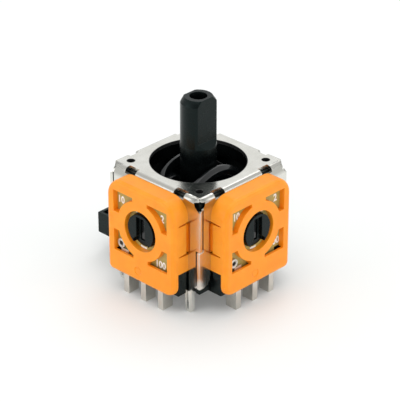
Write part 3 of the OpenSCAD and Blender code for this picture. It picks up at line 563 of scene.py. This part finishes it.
# %% Copy the snap dome, its doubled points merged
dome_shape = merged_copy("switch_dome")
bmesh.ops.dissolve_degenerate(dome_shape, edges=dome_shape.edges, dist=0.001 * MM)
dome_mesh = bpy.data.meshes.new("snap_dome")
dome_shape.to_mesh(dome_mesh)
dome_shape.free()
add_piece(dome_mesh, BODY_OF["switch_dome"], node_slots["switch_dome"], "switch_dome",
          moved_by=(BODY_OF["switch_button"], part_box("switch_dome")[0][2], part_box("switch_dome")[1][2]))

# %% [markdown]
# ### Eyelets
#
# Each terminal is riveted to its board with a tinned eyelet: a thin tube whose ends are rolled over. One
# closed profile, turned round the eyelet's own axis, gives the tube and both rolled lips. Only the first
# eyelet of each board shows, as a bright ring in the lower window.

# %% Roll the eyelets
BOARD_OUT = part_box("pot_board_x")[1][0] / MM
BOARD_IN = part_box("pot_board_x")[0][0] / MM
EYELET_SPOTS = ((-3.2, 3.4), (0.0, 1.7), (2.5, 1.7))
EYELET_BORE, EYELET_WALL, EYELET_HEAD = 0.25, 0.10, 0.475
TERMINAL_THICK, HEAD_THICK = 0.28, 0.12


def eyelet_profile(steps):
    """A closed outline (radius, depth): up the bore, over the outer lip, down the outside, round the inner head."""
    inner, outer = BOARD_IN - HEAD_THICK, BOARD_OUT + TERMINAL_THICK
    arc = np.linspace(0, np.pi, steps)
    lip_r = EYELET_WALL / 2
    lip = np.column_stack([EYELET_BORE + lip_r - lip_r * np.cos(arc), outer - lip_r + lip_r * np.sin(arc)])
    head = np.array([[EYELET_BORE + EYELET_WALL, BOARD_IN], [EYELET_HEAD - 0.03, BOARD_IN],
                     [EYELET_HEAD, BOARD_IN - 0.03], [EYELET_HEAD, inner + 0.03],
                     [EYELET_HEAD - 0.03, inner], [EYELET_BORE + 0.02, inner], [EYELET_BORE, inner + 0.02]])
    return np.vstack([lip, head])


def eyelet_points(spot, around):
    """The profile turned round the eyelet's axis, which points out along -Y at (x, z) = spot."""
    outline = eyelet_profile(9)
    v = np.linspace(0, 2 * np.pi, around, endpoint=False)[None, :]
    radius, depth = outline[:, :1], outline[:, 1:]
    return np.stack([spot[0] + radius * np.cos(v), -depth + 0 * v, spot[1] + radius * np.sin(v)], axis=-1)


def turned_to_x(points):
    """The same points a quarter turn round Z: what faces -Y then faces +X."""
    return np.stack([-points[..., 1], points[..., 0], points[..., 2]], axis=-1)


def joined(name, meshes):
    """One mesh from several, with normals outwards."""
    shape = bmesh.new()
    for mesh in meshes:
        shape.from_mesh(mesh)
    bmesh.ops.recalc_face_normals(shape, faces=shape.faces)
    result = bpy.data.meshes.new(name)
    shape.to_mesh(result)
    shape.free()
    result.shade_smooth()
    return result


for side, turn in (("y", lambda points: points), ("x", turned_to_x)):
    rings = [grid_mesh("ring", turn(eyelet_points(spot, 32)), True, True) for spot in EYELET_SPOTS]
    add_piece(joined("eyelet_rings_" + side, rings), "housing", "tinned_terminal", "eyelets_" + side)
    print("eyelet_rings_" + side, len(EYELET_SPOTS), "eyelets")

# %% [markdown]
# ### Printed numbers and index ticks
#
# The boards carry small white print behind the windows. Ours are plain numbers and two index ticks: the
# ticks show where the rotor's slot stands at rest. Screen ink is about 10 micrometres thick, so the
# print is a flat sheet a hair above the board. Letters come from a text curve, which we turn into a mesh
# before we place its points.

# %% Print on the boards
INK_LIFT = 0.006
INK_FACE = BOARD_OUT + INK_LIFT
NARROW = 0.9


def number_mesh(text, height, centre):
    """A text curve as a flat mesh, scaled to `height` mm, centred at (x, z), standing on the -Y board's face."""
    curve = bpy.data.curves.new("number", "FONT")
    curve.body = text
    curve.align_x, curve.align_y = "CENTER", "CENTER"
    curve.resolution_u = 4
    curve.offset = 0.036
    holder = bpy.data.objects.new("number", curve)
    mesh = bpy.data.meshes.new_from_object(holder)
    flat = np.zeros(len(mesh.vertices) * 3)
    mesh.vertices.foreach_get("co", flat)
    flat = flat.reshape(-1, 3)
    flat *= height / np.ptp(flat[:, 1])
    flat[:, 0] *= NARROW
    flat -= (flat.max(axis=0) + flat.min(axis=0)) / 2
    placed = np.column_stack([centre[0] + flat[:, 0], np.full(len(flat), -INK_FACE), centre[1] + flat[:, 1]])
    bpy.data.objects.remove(holder)
    return mesh, placed


def tick_points(angle, width, steps=9):
    """A patch between two radii and two angles round the rotor's axis, flat on the -Y board's face."""
    r = np.linspace(1.97, 2.19, 3)[:, None]
    a = np.radians(np.linspace(angle + width / 2, angle - width / 2, steps))[None, :]
    return np.stack([r * np.cos(a), np.full((3, steps), -INK_FACE), ROTOR_Z + r * np.sin(a)], axis=-1)


low_rotor, high_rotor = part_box("pot_rotor_x")
ROTOR_Z = (low_rotor[2] + high_rotor[2]) / 2 / MM
prints = {
    "y": ((("10", (-3.25, 8.42)), ("2", (2.66, 8.36)), ("100", (2.42, 2.93))), ((112, 26), (268, 24))),
    "x": ((("10", (-2.6, 8.55)), ("2", (3.15, 8.58)), ("100", (3.22, 3.42))), ((66, 26), (266, 24))),
}
for side, (numbers, ticks) in prints.items():
    turn = turned_to_x if side == "x" else (lambda points: points)
    sheets = []
    for text, centre in numbers:
        mesh, placed = number_mesh(text, 0.86, centre)
        mesh.vertices.foreach_set("co", (turn(placed) * MM).ravel())
        sheets.append(mesh)
    sheets += [grid_mesh("tick", turn(tick_points(*tick))) for tick in ticks]
    shape = bmesh.new()
    for sheet in sheets:
        shape.from_mesh(sheet)
    outwards = Vector((1, 0, 0)) if side == "x" else Vector((0, -1, 0))
    for face in shape.faces:
        face.normal_update()
        if face.normal.dot(outwards) < 0:
            face.normal_flip()
    printed = bpy.data.meshes.new("board_print_" + side)
    shape.to_mesh(printed)
    shape.free()
    add_piece(printed, "housing", "phenolic")
    printed.materials.clear()
    printed.materials.append(ink)
    print("board_print_" + side, len(printed.polygons), "faces of ink")

# %% [markdown]
# ## The table, the light and the camera
#
# The photograph was taken in a white light tent, so almost every reflection is white and the shadow is
# soft. One large panel overhead, two at the sides and a bright surround give that. Only the tent's
# opening, where the camera looks in, is darker, and that is what puts contrast on the black plastic.
# The floor is a plain pale sheet that the pins stand on. Like the translucent sheet of a light table it
# glows a little, which keeps the shadow under the part pale.

# %% Floor
TABLE_Z = cad_low[2]


def floor_sheet(half, z):
    """One square of side 2 x half metres at height z, facing up."""
    corner = np.array([[-1, -1], [1, -1], [1, 1], [-1, 1]], float) * half
    points = np.column_stack([corner, np.full(4, z)])
    mesh = bpy.data.meshes.new("floor")
    mesh.from_pydata(points.tolist(), [], [(0, 1, 2, 3)])
    return bpy.data.objects.new("floor", mesh)


floor = floor_sheet(1.5, TABLE_Z - 0.01 * MM)
bpy.context.scene.collection.objects.link(floor)
paper = finish_of(
    "white_paper", moulded_skin,
    {"Patch size": 0.02, "Colour 1": (0.765, 0.775, 0.770, 1), "Colour 2": (0.785, 0.795, 0.790, 1),
     "Gloss 1": 0.75, "Gloss 2": 0.85, "Grain": 2.0},
    relief=0.0, Emission_Color=(1.0, 0.99, 0.96, 1), Emission_Strength=0.085)
floor.data.materials.append(paper)


# %% Light
def towards(azimuth, elevation):
    """The unit vector from the part to a point at this azimuth, counted from -Y to +X, and elevation, in degrees."""
    a, e = math.radians(azimuth), math.radians(elevation)
    return Vector((math.sin(a) * math.cos(e), -math.cos(a) * math.cos(e), math.sin(e)))


def light_panel(name, azimuth, elevation, distance, size, watts, mirrored=True):
    """A square lamp on a sphere round the part. One that is not mirrored lights the part but shows in no reflection."""
    back = towards(azimuth, elevation)
    data = bpy.data.lights.new(name, "AREA")
    data.shape = "SQUARE"
    data.size = size
    data.energy = watts
    lamp = bpy.data.objects.new(name, data)
    lamp.visible_glossy = mirrored
    lamp.location = Vector((0, 0, 6 * MM)) + back * distance
    lamp.rotation_euler = back.to_track_quat("Z", "Y").to_euler()
    bpy.context.scene.collection.objects.link(lamp)
    return lamp


CAMERA_SIDE = towards(44.16, 28.25)
light_panel("overhead", 10, 78, 0.5, 0.40, 0.58)
light_panel("back", 205, 58, 0.5, 0.22, 0.30)
light_panel("left", -25, 9, 0.5, 0.30, 0.36)
light_panel("right", 115, 9, 0.5, 0.30, 0.36)
light_panel("front", 44, 10, 0.5, 0.30, 0.55, mirrored=False)

world = bpy.data.worlds.new("tent")
bpy.context.scene.world = world
world.use_nodes = True
tent = world.node_tree
surround = tent.nodes["Background"]
surround.inputs["Color"].default_value = (0.99, 1.0, 0.995, 1)
direction = add_node(tent, "ShaderNodeTexCoord")
opening = add_node(tent, "ShaderNodeVectorMath", operation="DOT_PRODUCT")
opening.inputs[1].default_value = CAMERA_SIDE
seen = add_node(tent, "ShaderNodeLightPath")
strength = add_node(tent, "ShaderNodeMath", operation="MAXIMUM")
tent.links.new(direction.outputs["Generated"], opening.inputs[0])
tent.links.new(map_range(tent, opening.outputs["Value"], 0.60, 0.95, 0.95, 0.50), strength.inputs[0])
tent.links.new(map_range(tent, seen.outputs["Is Camera Ray"], 0.0, 1.0, 0.0, 1.08), strength.inputs[1])
tent.links.new(strength.outputs["Value"], surround.inputs["Strength"])
print("tent with its opening towards", [round(v, 2) for v in CAMERA_SIDE])

# %% Camera
TARGET = Vector((0.12, 0.12, 6.38)) * MM
AZIMUTH, ELEVATION, DISTANCE = math.radians(44.16), math.radians(28.25), 200 * MM
PHOTO_WIDTH, FOCAL_PIXELS, SENSOR = 400, 1904, 36.0
back = Vector((math.sin(AZIMUTH) * math.cos(ELEVATION), -math.cos(AZIMUTH) * math.cos(ELEVATION),
               math.sin(ELEVATION)))
camera_data = bpy.data.cameras.new("camera")
camera_data.sensor_fit = "HORIZONTAL"
camera_data.sensor_width = SENSOR
camera_data.lens = FOCAL_PIXELS / PHOTO_WIDTH * SENSOR
camera_data.clip_start = 0.01
camera_data.clip_end = 10
camera = bpy.data.objects.new("camera", camera_data)
camera.location = TARGET + back * DISTANCE
camera.rotation_euler = back.to_track_quat("Z", "Y").to_euler()
bpy.context.scene.collection.objects.link(camera)
bpy.context.scene.camera = camera
bpy.context.scene.view_settings.view_transform = "Standard"
print("lens", round(camera_data.lens, 1), "mm")
